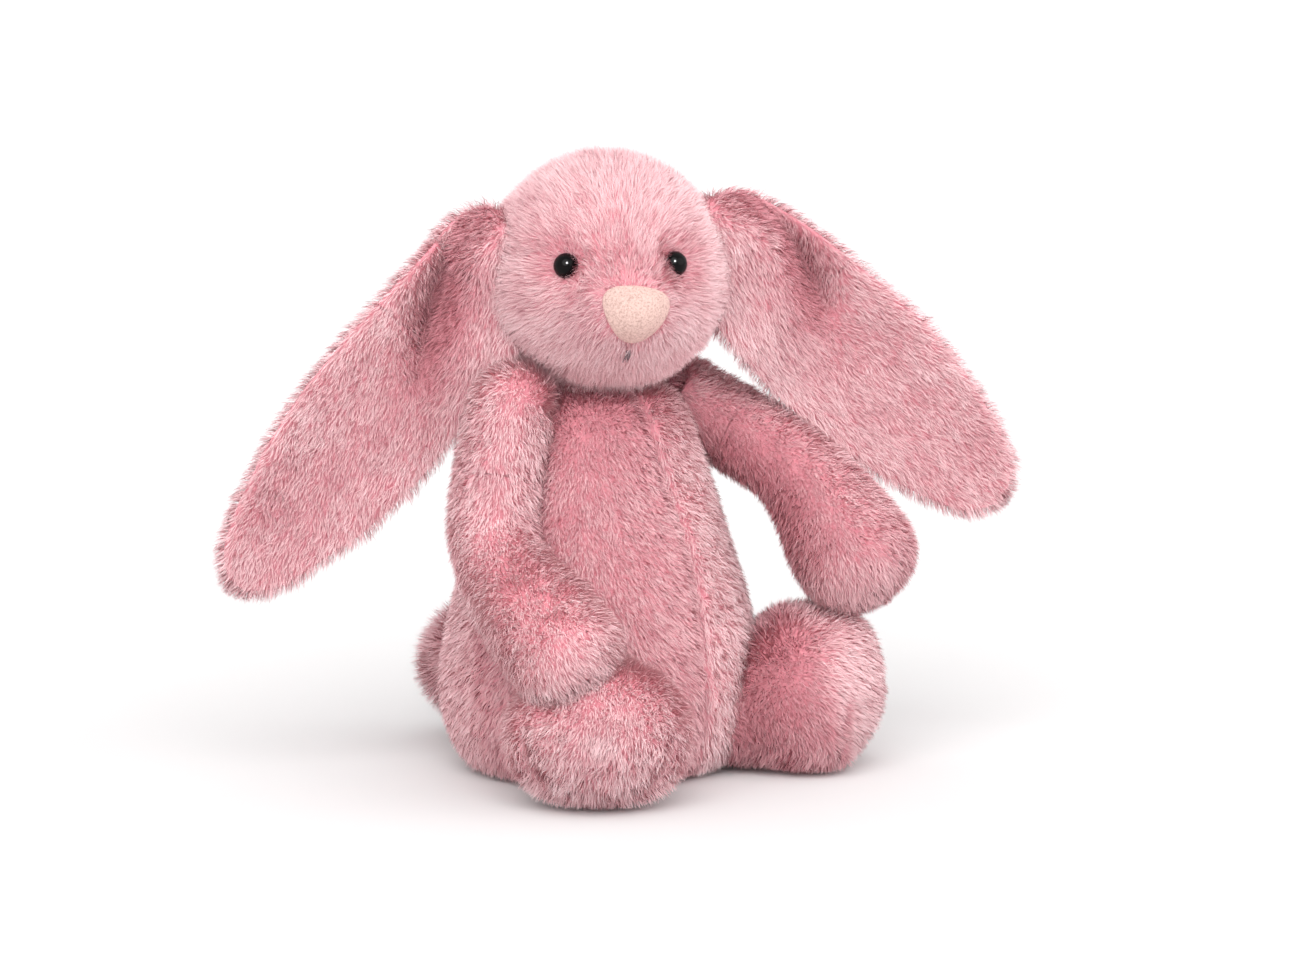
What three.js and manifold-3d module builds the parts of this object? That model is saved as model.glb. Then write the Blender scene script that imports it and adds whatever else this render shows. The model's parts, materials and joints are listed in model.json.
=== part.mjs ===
// A sitting stuffed bunny rabbit with long lop ears, in millimetres, +Z up.
// The torso faces -Y, its left side is +X, and it sits on the plane z = 0.
// Fabric covers are thin shells split at their seams; stuffing and bean pouches lie inside them.
import * as THREE from 'three';
import { mergeVertices } from 'three/addons/utils/BufferGeometryUtils.js';
import Module from 'manifold-3d';

const wasm = await Module();
wasm.setup();

// ---- Driving dimensions ----
const COVER = 1.5;          // thickness of a sewn cover with its seam allowance
const GAP = 0.3;            // space left between pieces that touch
const FRAME_SHIFT = new THREE.Vector3(-7.75, 3.35, 0);   // puts the origin under the middle of the box

const TORSO_HEIGHT = 131;
const TORSO_DEPTH_RATIO = 0.94;
const BASE_RADIUS = 31;
const BEAN_TOP = 30;        // top of the bean pouch in the seat

const NECK_RADIUS = 13;
const NECK_TOP = 134.4;
const NECK_RECESS = 123;    // floor of the neck opening in the torso

const HEAD_CENTRE = new THREE.Vector3(0, -3, 171.5);
const HEAD_RADII = new THREE.Vector3(36, 37, 36);
const HEAD_YAW = THREE.MathUtils.degToRad(-27);
const MUZZLE_REACH = 8;     // how far the muzzle stands out of the head
const MUZZLE_DROP = 11;     // its middle, below the head's middle
const MUZZLE_SPREAD = 22;   // how far it fades out to the sides
const MUZZLE_TALL = 20;     // and up and down
const GUSSET_HALF = 12;     // half width of the head's centre gusset

const EYE_RADIUS = 4;
const EYE_SPREAD = 19.7;    // eye to the head's middle plane
const EYE_HEIGHT = 6.5;
const POST_RADIUS = 1.2;
const WASHER_RADIUS = 5;

const NOSE_WIDTH = 22;
const NOSE_HEIGHT = 18;
const NOSE_THICK = 1.6;
const NOSE_DROP = 8;        // its middle, below the head's middle
const NOSE_PROUD = 2.4;     // its back, in front of the cover
const MOUTH_DROP = 23;
const MOUTH_PROUD = 3.2;
const STITCH_LENGTH = 4.6;
const STITCH_THICK = 1.1;

const EAR_LENGTH = 132;
const EAR_ROOT_HALF = 21;
const EAR_BELLY = 31;       // how far the rim's curve swells to each side
const EAR_LAYER = 2.4;
const EAR_FOLD_AT = 68;     // along the ear, from its root
const FOLD_GAP = 3.4;
const EAR_ROOT_OUT = 41;    // root seam to the head's middle plane
const EAR_ROOT_BACK = 2;
const EAR_ROOT_UP = 4;
const EAR_DROOP = { left: 40.5, right: 50.5 };    // degrees below level

const ARM_RADIUS = 12.4;
const PAW_RADIUS = 15;
const UPPER_ARM = 42;       // shoulder to elbow
const FOREARM = 39;         // elbow to the middle of the paw
const SHOULDER = new THREE.Vector3(37.6, -1, 121.5);
const ARM_AIM = {
  left: { upper: [17, -31, -18], fore: [13, -24, -34] },
  right: { upper: [-16, -7, -37], fore: [3, -29, -20] },
};
const ELBOW_CUT = 10.5;        // the upper arm's end lies this far before the elbow's middle

const HIP_OUT = 51;         // hip seam to the torso's axis
const HIP_HEIGHT = 12.5;
const HIP_RADIUS = 7.5;
const FOOT_RADIUS = 26;
const FOOT_FLATNESS = 0.86; // length of the foot's round end against its radius
const LEG_REACH = 27;       // hip to the middle of the foot
const LEG_SPLAY = { left: 50, right: 38 };    // degrees outwards from straight ahead
const LEG_RISE = 30;        // degrees that the leg rises to the foot's middle

const TAIL_CENTRE = new THREE.Vector3(0, 61, 34);
const TAIL_RADIUS = 15;

// ---- Materials ----
const plush = () => new THREE.MeshStandardMaterial({ color: 0xdc96a3, roughness: 0.95, metalness: 0 });
const fibre = () => new THREE.MeshStandardMaterial({ color: 0xf2eee8, roughness: 1, metalness: 0 });
const beans = () => new THREE.MeshStandardMaterial({ color: 0xe6e2d6, roughness: 0.8, metalness: 0 });
const glossBlack = () => new THREE.MeshStandardMaterial({ color: 0x0b0a0b, roughness: 0.08, metalness: 0 });
const nylon = () => new THREE.MeshStandardMaterial({ color: 0xd8d8d4, roughness: 0.5, metalness: 0 });
const suede = () => new THREE.MeshStandardMaterial({ color: 0xe4c6bb, roughness: 0.9, metalness: 0 });
const thread = () => new THREE.MeshStandardMaterial({ color: 0x4a4044, roughness: 0.8, metalness: 0 });

// ---- Solids ----
function toSolid(geometry) {
  const bare = geometry.clone();
  bare.deleteAttribute('normal');
  bare.deleteAttribute('uv');
  const merged = mergeVertices(bare, 1e-4);
  return new wasm.Manifold(new wasm.Mesh({
    numProp: 3,
    vertProperties: new Float32Array(merged.attributes.position.array),
    triVerts: new Uint32Array(merged.index.array),
  }));
}

function toGeometry(solid) {
  const mesh = solid.getMesh();
  const geometry = new THREE.BufferGeometry();
  geometry.setAttribute('position', new THREE.BufferAttribute(mesh.vertProperties, 3));
  geometry.setIndex(new THREE.BufferAttribute(mesh.triVerts, 1));
  geometry.computeVertexNormals();
  return geometry;
}

function block(low, high) {
  const size = new THREE.Vector3().subVectors(high, low);
  const geometry = new THREE.BoxGeometry(size.x, size.y, size.z);
  geometry.translate((low.x + high.x) / 2, (low.y + high.y) / 2, (low.z + high.z) / 2);
  return toSolid(geometry);
}

// A half space, or the slab between two planes, along one axis.
function slab(axis, from, to) {
  const far = 400;
  const low = new THREE.Vector3(-far, -far, -far);
  const high = new THREE.Vector3(far, far, far);
  low[axis] = Math.max(from, -far);
  high[axis] = Math.min(to, far);
  return block(low, high);
}

// The same closed shape, smaller by an even margin all round.
function inset(geometry, margin) {
  const inner = geometry.clone();
  inner.computeBoundingBox();
  const size = inner.boundingBox.getSize(new THREE.Vector3());
  const middle = inner.boundingBox.getCenter(new THREE.Vector3());
  inner.translate(-middle.x, -middle.y, -middle.z);
  inner.scale(1 - 2 * margin / size.x, 1 - 2 * margin / size.y, 1 - 2 * margin / size.z);
  inner.translate(middle.x, middle.y, middle.z);
  return inner;
}

// A solid of revolution round Z, from [radius, height] points that start and end on the axis.
function turned(points, segments) {
  const geometry = new THREE.LatheGeometry(points.map(([r, z]) => new THREE.Vector2(r, z)), segments);
  geometry.rotateX(Math.PI / 2);
  return geometry;
}

function ball(radius, centre, segments = 16) {
  const geometry = new THREE.SphereGeometry(radius, segments, segments / 2);
  geometry.translate(centre.x, centre.y, centre.z);
  return geometry;
}

function addMesh(parent, name, geometry, material) {
  const mesh = new THREE.Mesh(geometry, material);
  mesh.name = name;
  parent.add(mesh);
  return mesh;
}

function addSolid(parent, name, solid, material) {
  return addMesh(parent, name, toGeometry(solid), material);
}

// The top and under panels of a stuffed shape, parted in the plane y = 0, and the stuffing inside them.
function addStuffed(parent, names, shape, material, options = {}) {
  const { hollow = null, pouch = null } = options;
  const carve = (solid, margin) => (hollow ? solid.subtract(hollow(margin)) : solid);
  const outer = carve(toSolid(shape), 0);
  const inner = carve(toSolid(inset(shape, COVER)), COVER);
  const shell = outer.subtract(inner);
  addSolid(parent, names[0], shell.intersect(slab('y', GAP / 2, Infinity)), material());
  addSolid(parent, names[1], shell.intersect(slab('y', -Infinity, -GAP / 2)), material());
  const filling = carve(toSolid(inset(shape, COVER + 2 * GAP)), COVER + 2 * GAP);
  if (!pouch) {
    addSolid(parent, names[2], filling, fibre());
    return;
  }
  const { from, name } = pouch;
  addSolid(parent, names[2], filling.intersect(slab('z', -Infinity, from)), fibre());
  addSolid(parent, name, filling.intersect(slab('z', from + GAP, Infinity)), beans());
}

// Turns a group so that its own +Z points along a direction and its +Y as nearly up as it can.
function aim(group, direction) {
  const z = new THREE.Vector3(...direction).normalize();
  const x = new THREE.Vector3().crossVectors(new THREE.Vector3(0, 0, 1), z).normalize();
  const y = new THREE.Vector3().crossVectors(z, x);
  group.quaternion.setFromRotationMatrix(new THREE.Matrix4().makeBasis(x, y, z));
  return z;
}

// ---- Torso ----
function torsoProfile() {
  return [[0, 0], [33, 0], [40, 6], [45.5, 17], [48, 32], [48, 46], [45, 64], [39.5, 84], [32, 104],
    [24.5, 120], [18, 128], [10, TORSO_HEIGHT], [0, TORSO_HEIGHT]];
}

function makeTorso(parent) {
  const shape = turned(torsoProfile(), 20);
  shape.scale(1, TORSO_DEPTH_RATIO, 1);
  const opening = (margin) => toSolid(turned([
    [0, NECK_RECESS - margin],
    [NECK_RADIUS + 2 * GAP + margin, NECK_RECESS - margin],
    [NECK_RADIUS + 2 * GAP + margin, TORSO_HEIGHT + 20],
    [0, TORSO_HEIGHT + 20],
  ], 20));
  const base = turned([[0, 0], [BASE_RADIUS, 0], [BASE_RADIUS, COVER], [0, COVER]], 20);
  const baseHole = turned([[0, -5], [BASE_RADIUS + GAP, -5], [BASE_RADIUS + GAP, COVER + 1],
    [0, COVER + 1]], 20);
  const outer = toSolid(shape).subtract(opening(0));
  const shell = outer.subtract(toSolid(inset(shape, COVER))).subtract(toSolid(baseHole));
  const front = shell.intersect(slab('y', -Infinity, -GAP / 2));
  addSolid(parent, 'torso_front_left', front.intersect(slab('x', GAP / 2, Infinity)), plush());
  addSolid(parent, 'torso_front_right', front.intersect(slab('x', -Infinity, -GAP / 2)), plush());
  addSolid(parent, 'torso_back', shell.intersect(slab('y', GAP / 2, Infinity)), plush());
  addMesh(parent, 'torso_base', base, plush());

  const filling = toSolid(inset(shape, COVER + 2 * GAP)).subtract(opening(GAP));
  addSolid(parent, 'torso_stuffing', filling.intersect(slab('z', BEAN_TOP + GAP, Infinity)), fibre());
  addSolid(parent, 'seat_bean_pouch', filling.intersect(slab('z', -Infinity, BEAN_TOP)), beans());
}

function makeNeck(parent) {
  addMesh(parent, 'neck_stuffing', turned([
    [0, NECK_RECESS + 2 * GAP],
    [NECK_RADIUS, NECK_RECESS + 2 * GAP],
    [NECK_RADIUS, NECK_TOP - 1.5],
    [NECK_RADIUS - 3, NECK_TOP],
    [0, NECK_TOP],
  ], 16), fibre());
}

function makeTail(parent) {
  const tail = new THREE.Group();
  tail.position.copy(TAIL_CENTRE);
  tail.rotation.x = Math.PI / 2;
  parent.add(tail);
  addStuffed(tail, ['tail_cover_upper', 'tail_cover_lower', 'tail_stuffing'],
    ball(TAIL_RADIUS, new THREE.Vector3(), 12), plush);
}

// ---- Head, in its own frame: origin in its middle, facing -Y ----
function headShape() {
  const geometry = new THREE.SphereGeometry(1, 22, 14);
  geometry.rotateX(Math.PI / 2);
  const place = geometry.attributes.position;
  const p = new THREE.Vector3();
  for (let i = 0; i < place.count; i += 1) {
    p.fromBufferAttribute(place, i);
    p.multiply(HEAD_RADII);
    const forward = Math.max(0, -p.y / HEAD_RADII.y);
    const across = p.x / MUZZLE_SPREAD;
    const down = (p.z + MUZZLE_DROP) / MUZZLE_TALL;
    p.y -= MUZZLE_REACH * forward * Math.exp(-across * across - down * down);
    place.setXYZ(i, p.x, p.y, p.z);
  }
  return geometry;
}

// Height of the head's front surface at a place, measured towards -Y.
function headFront(x, z) {
  const round = Math.sqrt(Math.max(0, 1 - (x / HEAD_RADII.x) ** 2 - (z / HEAD_RADII.z) ** 2));
  const bulge = Math.exp(-((x / MUZZLE_SPREAD) ** 2) - ((z + MUZZLE_DROP) / MUZZLE_TALL) ** 2);
  return round * HEAD_RADII.y + MUZZLE_REACH * round * bulge;
}

function eyeFrame(side) {
  const x = side * EYE_SPREAD;
  const seat = new THREE.Vector3(x, -headFront(x, EYE_HEIGHT), EYE_HEIGHT);
  const outward = new THREE.Vector3(x / 36, seat.y / 42, EYE_HEIGHT / 36).normalize();
  const turn = new THREE.Quaternion().setFromUnitVectors(new THREE.Vector3(0, 0, 1), outward);
  return { seat, turn };
}

function placed(geometry, frame) {
  const copy = geometry.clone();
  copy.applyQuaternion(frame.turn);
  copy.translate(frame.seat.x, frame.seat.y, frame.seat.z);
  return copy;
}

function eyeHole(radius, depth) {
  return turned([[0, -depth], [radius, -depth], [radius, 8], [0, 8]], 12);
}

function nosePatch() {
  const half = NOSE_WIDTH / 2;
  const tall = NOSE_HEIGHT / 2;
  const outline = new THREE.Shape();
  outline.moveTo(-half * 0.55, tall);
  outline.quadraticCurveTo(0, tall * 1.12, half * 0.55, tall);
  outline.quadraticCurveTo(half, tall * 0.9, half * 0.92, tall * 0.3);
  outline.quadraticCurveTo(half * 0.55, -tall * 0.75, half * 0.18, -tall * 0.95);
  outline.quadraticCurveTo(0, -tall * 1.05, -half * 0.18, -tall * 0.95);
  outline.quadraticCurveTo(-half * 0.55, -tall * 0.75, -half * 0.92, tall * 0.3);
  outline.quadraticCurveTo(-half, tall * 0.9, -half * 0.55, tall);
  const options = { depth: NOSE_THICK, bevelEnabled: false, curveSegments: 4 };
  const geometry = new THREE.ExtrudeGeometry(outline, options);
  geometry.translate(0, 0, -NOSE_THICK / 2);
  return geometry.rotateX(Math.PI / 2);
}

function makeHead(parent) {
  const shape = headShape();
  const eyes = [eyeFrame(1), eyeFrame(-1)];
  let shell = toSolid(shape).subtract(toSolid(inset(shape, COVER)));
  let filling = toSolid(inset(shape, COVER + 2 * GAP));
  for (const frame of eyes) {
    shell = shell.subtract(toSolid(placed(eyeHole(POST_RADIUS + GAP, 12), frame)));
    filling = filling.subtract(toSolid(placed(eyeHole(POST_RADIUS + 2 * GAP, 12), frame)));
    filling = filling.subtract(toSolid(placed(eyeHole(WASHER_RADIUS + 2 * GAP, 6), frame)));
  }
  const gusset = shell.intersect(slab('x', -GUSSET_HALF, GUSSET_HALF));
  addSolid(parent, 'head_muzzle_gusset', gusset.intersect(slab('y', -Infinity, -GAP / 2)), plush());
  addSolid(parent, 'head_crown_gusset', gusset.intersect(slab('y', GAP / 2, Infinity)), plush());
  addSolid(parent, 'head_side_left', shell.intersect(slab('x', GUSSET_HALF + GAP, Infinity)), plush());
  addSolid(parent, 'head_side_right', shell.intersect(slab('x', -Infinity, -GUSSET_HALF - GAP)), plush());
  addSolid(parent, 'head_stuffing', filling, fibre());

  eyes.forEach((frame, i) => {
    const side = i === 0 ? 'left' : 'right';
    const lift = 1.2;
    addMesh(parent, `eye_${side}`, placed(turned([
      [0, -9], [POST_RADIUS, -9], [POST_RADIUS, lift], [EYE_RADIUS * 0.9, lift], [EYE_RADIUS, lift + 0.7],
      [EYE_RADIUS * 0.82, lift + 2.4], [EYE_RADIUS * 0.45, lift + 3.4], [0, lift + 3.7],
    ], 12), frame), glossBlack());
    addMesh(parent, `eye_washer_${side}`, placed(turned([
      [POST_RADIUS + GAP, -5.2], [WASHER_RADIUS, -5.2], [WASHER_RADIUS, -4], [POST_RADIUS + GAP, -4],
      [POST_RADIUS + GAP, -5.2],
    ], 12), frame), nylon());
  });

  const nose = addMesh(parent, 'nose_patch', nosePatch(), suede());
  nose.position.set(0, -headFront(0, -NOSE_DROP) - NOSE_THICK / 2 - NOSE_PROUD, -NOSE_DROP);
  nose.rotation.x = THREE.MathUtils.degToRad(3);

  const stitch = new THREE.BoxGeometry(STITCH_THICK, STITCH_THICK, STITCH_LENGTH, 1, 1, 2);
  const mouth = addMesh(parent, 'mouth_stitch', stitch, thread());
  mouth.position.set(0, -headFront(0, -MOUTH_DROP) - MOUTH_PROUD, -MOUTH_DROP);
  mouth.rotation.x = THREE.MathUtils.degToRad(-22);
}

// ---- Ears: flat layers in the head's X-Z plane, side +1 on the left ----
function earOutline(side, droop) {
  const along = new THREE.Vector2(side * Math.cos(droop), -Math.sin(droop));
  const across = new THREE.Vector2(side * Math.sin(droop), Math.cos(droop));
  const at = (a, n) => [along.x * a + across.x * n, along.y * a + across.y * n];
  const top = [-EAR_ROOT_HALF * Math.sin(droop), EAR_ROOT_HALF * Math.cos(droop)];
  const outline = new THREE.Shape();
  outline.moveTo(...at(...top));
  outline.bezierCurveTo(...at(28, EAR_BELLY + 5), ...at(106, EAR_BELLY), ...at(EAR_LENGTH - 3, 4));
  outline.quadraticCurveTo(...at(EAR_LENGTH + 1, 0), ...at(EAR_LENGTH - 3, -4));
  outline.bezierCurveTo(...at(108, -EAR_BELLY), ...at(46, -EAR_BELLY), ...at(-top[0], -top[1]));
  outline.closePath();
  return { outline, along, across };
}

function makeEar(head, name, side) {
  const droop = THREE.MathUtils.degToRad(EAR_DROOP[name]);
  const { outline, along } = earOutline(side, droop);
  const ear = new THREE.Group();
  ear.position.set(side * EAR_ROOT_OUT, EAR_ROOT_BACK, EAR_ROOT_UP);
  head.add(ear);
  const turn = new THREE.Matrix4().makeRotationZ(Math.atan2(along.y, along.x));
  const half = (from, to) => {
    const cut = new THREE.BoxGeometry(to - from, 200, 40);
    cut.translate((from + to) / 2, 0, 0);
    return toSolid(cut.applyMatrix4(turn).rotateX(Math.PI / 2));
  };
  const root = half(-60, EAR_FOLD_AT - FOLD_GAP / 2);
  const tip = half(EAR_FOLD_AT + FOLD_GAP / 2, 200);
  const options = { depth: EAR_LAYER, bevelEnabled: false, curveSegments: 9 };
  const layer = (start) => {
    const plate = new THREE.ExtrudeGeometry(outline, options);
    plate.translate(0, 0, start);
    return toSolid(plate.rotateX(Math.PI / 2));
  };
  const front = layer(GAP / 2);
  const back = layer(-EAR_LAYER - GAP / 2);
  addSolid(ear, `ear_${name}_lining_root`, front.intersect(root), plush());
  addSolid(ear, `ear_${name}_lining_tip`, front.intersect(tip), plush());
  addSolid(ear, `ear_${name}_back_root`, back.intersect(root), plush());
  addSolid(ear, `ear_${name}_back_tip`, back.intersect(tip), plush());
}

// ---- Arms: each segment is turned about its own +Z, which runs down the arm ----
// A round end of a given radius, as the first points of a profile.
function roundEnd(r) {
  return [[0, -r], [r * 0.6, -r * 0.8], [r * 0.93, -r * 0.37]];
}

function upperArmProfile() {
  return [...roundEnd(ARM_RADIUS), [ARM_RADIUS, 4], [ARM_RADIUS, UPPER_ARM - ELBOW_CUT],
    [0, UPPER_ARM - ELBOW_CUT]];
}

function forearmProfile() {
  const points = [...roundEnd(ARM_RADIUS), [ARM_RADIUS, 3], [PAW_RADIUS * 0.95, FOREARM - 14],
    [PAW_RADIUS, FOREARM - 3]];
  for (const turn of [25, 50, 72]) {
    const angle = THREE.MathUtils.degToRad(turn);
    points.push([PAW_RADIUS * Math.cos(angle), FOREARM - 3 + PAW_RADIUS * Math.sin(angle)]);
  }
  points.push([0, FOREARM - 3 + PAW_RADIUS]);
  return points;
}

function makeArm(parent, name, side) {
  const upper = new THREE.Group();
  upper.position.set(side * SHOULDER.x, SHOULDER.y, SHOULDER.z);
  const upperWay = aim(upper, ARM_AIM[name].upper);
  parent.add(upper);
  const elbow = new THREE.Vector3(0, 0, UPPER_ARM);
  const socket = (margin) => toSolid(ball(ARM_RADIUS + 2 * GAP + margin, elbow, 14));
  addStuffed(upper, [`upper_arm_${name}_top`, `upper_arm_${name}_under`, `upper_arm_${name}_stuffing`],
    turned(upperArmProfile(), 14), plush, { hollow: socket });

  const fore = new THREE.Group();
  fore.position.copy(upper.position).addScaledVector(upperWay, UPPER_ARM);
  aim(fore, ARM_AIM[name].fore);
  parent.add(fore);
  addStuffed(fore, [`forearm_${name}_top`, `forearm_${name}_under`, `forearm_${name}_stuffing`],
    turned(forearmProfile(), 14), plush, { pouch: { from: FOREARM - 8, name: `paw_${name}_beans` } });
}

// ---- Legs: narrow at the hip seam, round at the foot ----
function legProfile() {
  const points = [...roundEnd(HIP_RADIUS), [FOOT_RADIUS * 0.6, 7]];
  for (const turn of [-32, 0, 25, 48, 70]) {
    const angle = THREE.MathUtils.degToRad(turn);
    const along = FOOT_RADIUS * FOOT_FLATNESS * Math.sin(angle);
    points.push([FOOT_RADIUS * Math.cos(angle), LEG_REACH + along]);
  }
  points.push([0, LEG_REACH + FOOT_RADIUS * FOOT_FLATNESS]);
  return points;
}

function makeLeg(parent, name, side) {
  const leg = new THREE.Group();
  const splay = THREE.MathUtils.degToRad(LEG_SPLAY[name]);
  const outward = new THREE.Vector3(side * Math.sin(splay), -Math.cos(splay), 0);
  leg.position.set(HIP_OUT * outward.x, HIP_OUT * outward.y, HIP_HEIGHT);
  aim(leg, [outward.x, outward.y, Math.tan(THREE.MathUtils.degToRad(LEG_RISE))]);
  parent.add(leg);
  addStuffed(leg, [`leg_${name}_top`, `leg_${name}_under`, `leg_${name}_stuffing`],
    turned(legProfile(), 18), plush, { pouch: { from: LEG_REACH - 2, name: `foot_${name}_beans` } });
}

// ---- Assembly ----
const group = new THREE.Group();
const bunny = new THREE.Group();
bunny.position.copy(FRAME_SHIFT);
group.add(bunny);

makeTorso(bunny);
makeNeck(bunny);
makeTail(bunny);

const head = new THREE.Group();
head.position.copy(HEAD_CENTRE);
head.rotation.z = HEAD_YAW;
bunny.add(head);
makeHead(head);

for (const [name, side] of [['left', 1], ['right', -1]]) {
  makeEar(head, name, side);
  makeArm(bunny, name, side);
  makeLeg(bunny, name, side);
}

export default group;
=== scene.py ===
"""A sitting stuffed bunny with long lop ears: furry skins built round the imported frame.

Every soft part is a closed skin, a grid of points bent round the part's middle line, and a coat of
plush pile on it, made of thin tapered blades that follow the nap of the cloth.
"""
import json
import math
from itertools import product

import bpy
import numpy as np
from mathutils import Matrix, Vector


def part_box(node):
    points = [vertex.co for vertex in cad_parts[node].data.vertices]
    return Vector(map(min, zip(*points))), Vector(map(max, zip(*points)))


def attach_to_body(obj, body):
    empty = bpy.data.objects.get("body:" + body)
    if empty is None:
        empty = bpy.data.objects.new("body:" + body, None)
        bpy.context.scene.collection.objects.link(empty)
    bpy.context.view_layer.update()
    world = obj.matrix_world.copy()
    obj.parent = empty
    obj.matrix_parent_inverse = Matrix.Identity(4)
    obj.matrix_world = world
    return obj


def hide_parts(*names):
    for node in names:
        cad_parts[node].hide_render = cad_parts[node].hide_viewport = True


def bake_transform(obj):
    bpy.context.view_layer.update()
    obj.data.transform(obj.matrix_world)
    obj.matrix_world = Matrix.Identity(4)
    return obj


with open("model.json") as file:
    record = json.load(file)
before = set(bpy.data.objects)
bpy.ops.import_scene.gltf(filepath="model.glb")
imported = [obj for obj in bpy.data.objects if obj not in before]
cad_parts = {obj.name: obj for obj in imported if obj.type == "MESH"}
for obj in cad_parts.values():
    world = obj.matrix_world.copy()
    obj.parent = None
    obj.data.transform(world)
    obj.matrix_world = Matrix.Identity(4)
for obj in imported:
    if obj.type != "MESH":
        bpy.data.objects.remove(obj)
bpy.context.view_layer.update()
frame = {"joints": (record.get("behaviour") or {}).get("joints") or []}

MM = 0.001
PILE = 5.2 * MM              # length of the plush pile
BLADE = 0.23 * MM            # width of one blade of pile at its root
DENSITY = 3.6 / MM ** 2      # blades on a square millimetre of cloth
THINNED = 1.0
MOST_BLADES = 62000          # in one object
SMALL_TUFT, LARGE_TUFT = 3.0 * MM, 9 * MM
BLOTCH = 13 * MM             # size of the lighter and darker patches of pile
FLOOR_GAP = 0.2 * MM         # least height of any blade
FLOOR_SKIN = 1.0 * MM        # least height of the cloth, with squashed pile below it
FLOOR_SOFT = 1.6 * MM        # how gently a skin flattens where it meets the floor
UP = np.array([0.0, 0.0, 1.0])

# ---- Landmarks, all taken from the frame ----
joints = {joint["name"]: joint for joint in frame["joints"]}


def pivot(name):
    return np.array(joints[name]["pos_m"], float)


def axis_of(name):
    return unit(np.array(joints[name]["axis"], float))


def middle(node):
    low, high = (np.array(corner, float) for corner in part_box(node))
    return (low + high) / 2


def unit(v):
    return v / np.maximum(np.linalg.norm(v, axis=-1, keepdims=True), 1e-12)


def smooth(t):
    t = np.clip(t, 0, 1)
    return t * t * (3 - 2 * t)


# ---- Smooth noise ----
noise_table = np.random.default_rng(11).uniform(-1, 1, (4096, 3))


def wander(points, size, seed=0):
    """A smooth random vector at every point, which changes over about one size."""
    cell = points / size
    base = np.floor(cell).astype(np.int64)
    part = cell - base
    part = part * part * (3 - 2 * part)
    total = np.zeros_like(points)
    for corner in product((0, 1), repeat=3):
        near = base + np.array(corner)
        code = near[:, 0] * 73856093 ^ near[:, 1] * 19349663 ^ near[:, 2] * 83492791 ^ seed * 2654435
        weight = np.prod(np.where(np.array(corner) == 1, part, 1 - part), axis=1)
        total += weight[:, None] * noise_table[np.abs(code) % len(noise_table)]
    return total


# ---- Surfaces: grids of points, rows along the part and columns round it ----
class Surface:
    """A grid of points and the coat on it.

    lean is the way that the pile lies, pile its length, thick the share of the usual number of
    blades, and painted_light_and_shade the painted light and shade added to their tone. fine makes
    the blades more and narrower, and ruffle sets how tufty they stand.
    """

    def __init__(self, points):
        self.points = points
        self.lean = np.zeros_like(points)
        self.pile = np.full(points.shape[:2], PILE)
        self.thick = np.ones(points.shape[:2])
        self.painted_light_and_shade = np.zeros(points.shape[:2])
        self.fine = 1.0
        self.ruffle = 1.0
        self.refresh()

    def refresh(self):
        """Works out the outward normals again, after the points have moved."""
        p = self.points
        along = np.gradient(p, axis=0)
        around = np.roll(p, -1, axis=1) - np.roll(p, 1, axis=1)
        normal = unit(np.cross(around, along))
        normal[0] = unit(normal[1].mean(axis=0))
        normal[-1] = unit(normal[-2].mean(axis=0))
        outward = ((p - p.mean(axis=1, keepdims=True)) * normal).sum(axis=-1)
        if outward.mean() < 0:
            normal = -normal
        self.normals = normal

    def push(self, offset):
        """Moves every point along its normal."""
        self.points = self.points + self.normals * offset[..., None]
        self.refresh()

    def flat(self):
        return self.points.reshape(-1, 3)

    def comb(self, field):
        """Sets the nap: the part of a vector field that lies in the surface."""
        across = (field * self.normals).sum(axis=-1, keepdims=True)
        self.lean = field - self.normals * across

    def rest(self):
        """Flattens what would go below the floor, softly."""
        z = self.points[..., 2] - FLOOR_SKIN
        self.points[..., 2] = FLOOR_SKIN + FLOOR_SOFT * np.logaddexp(0, z / FLOOR_SOFT)
        self.refresh()


def bend_line(controls, count):
    """A Catmull-Rom curve through the control points, evenly spaced along its length."""
    c = np.array(controls, float)
    c = np.vstack([2 * c[0] - c[1], c, 2 * c[-1] - c[-2]])
    pieces = []
    t = np.linspace(0, 1, 40, endpoint=False)[:, None]
    for i in range(1, len(c) - 2):
        a, b, d, e = c[i - 1:i + 3]
        pieces.append(0.5 * (2 * b + (d - a) * t + (2 * a - 5 * b + 4 * d - e) * t ** 2
                             + (3 * b - a - 3 * d + e) * t ** 3))
    line = np.vstack(pieces + [c[-2:-1]])
    run = np.concatenate([[0], np.cumsum(np.linalg.norm(np.diff(line, axis=0), axis=1))])
    even = np.linspace(0, run[-1], count)
    return np.stack([np.interp(even, run, line[:, k]) for k in range(3)], axis=1), even


def swept(line, wide, thick, side, columns):
    """A tube round a line. side is the direction that wide is measured in."""
    along = unit(np.gradient(line, axis=0))
    side = unit(side - along * (side * along).sum(axis=1, keepdims=True))
    over = np.cross(along, side)
    turn = np.linspace(0, 2 * math.pi, columns, endpoint=False)
    ring = (side[:, None] * np.cos(turn)[None, :, None] * wide[:, None, None]
            + over[:, None] * np.sin(turn)[None, :, None] * thick[:, None, None])
    return Surface(line[:, None] + ring)


def rounded(run, start, end):
    """A radius factor that rounds both ends of a tube off, over the lengths given."""
    length = run[-1]
    head = np.clip(run / start, 0, 1)
    tail = np.clip((length - run) / end, 0, 1)
    return np.sqrt(1 - (1 - head) ** 2) * np.sqrt(1 - (1 - tail) ** 2)


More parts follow.
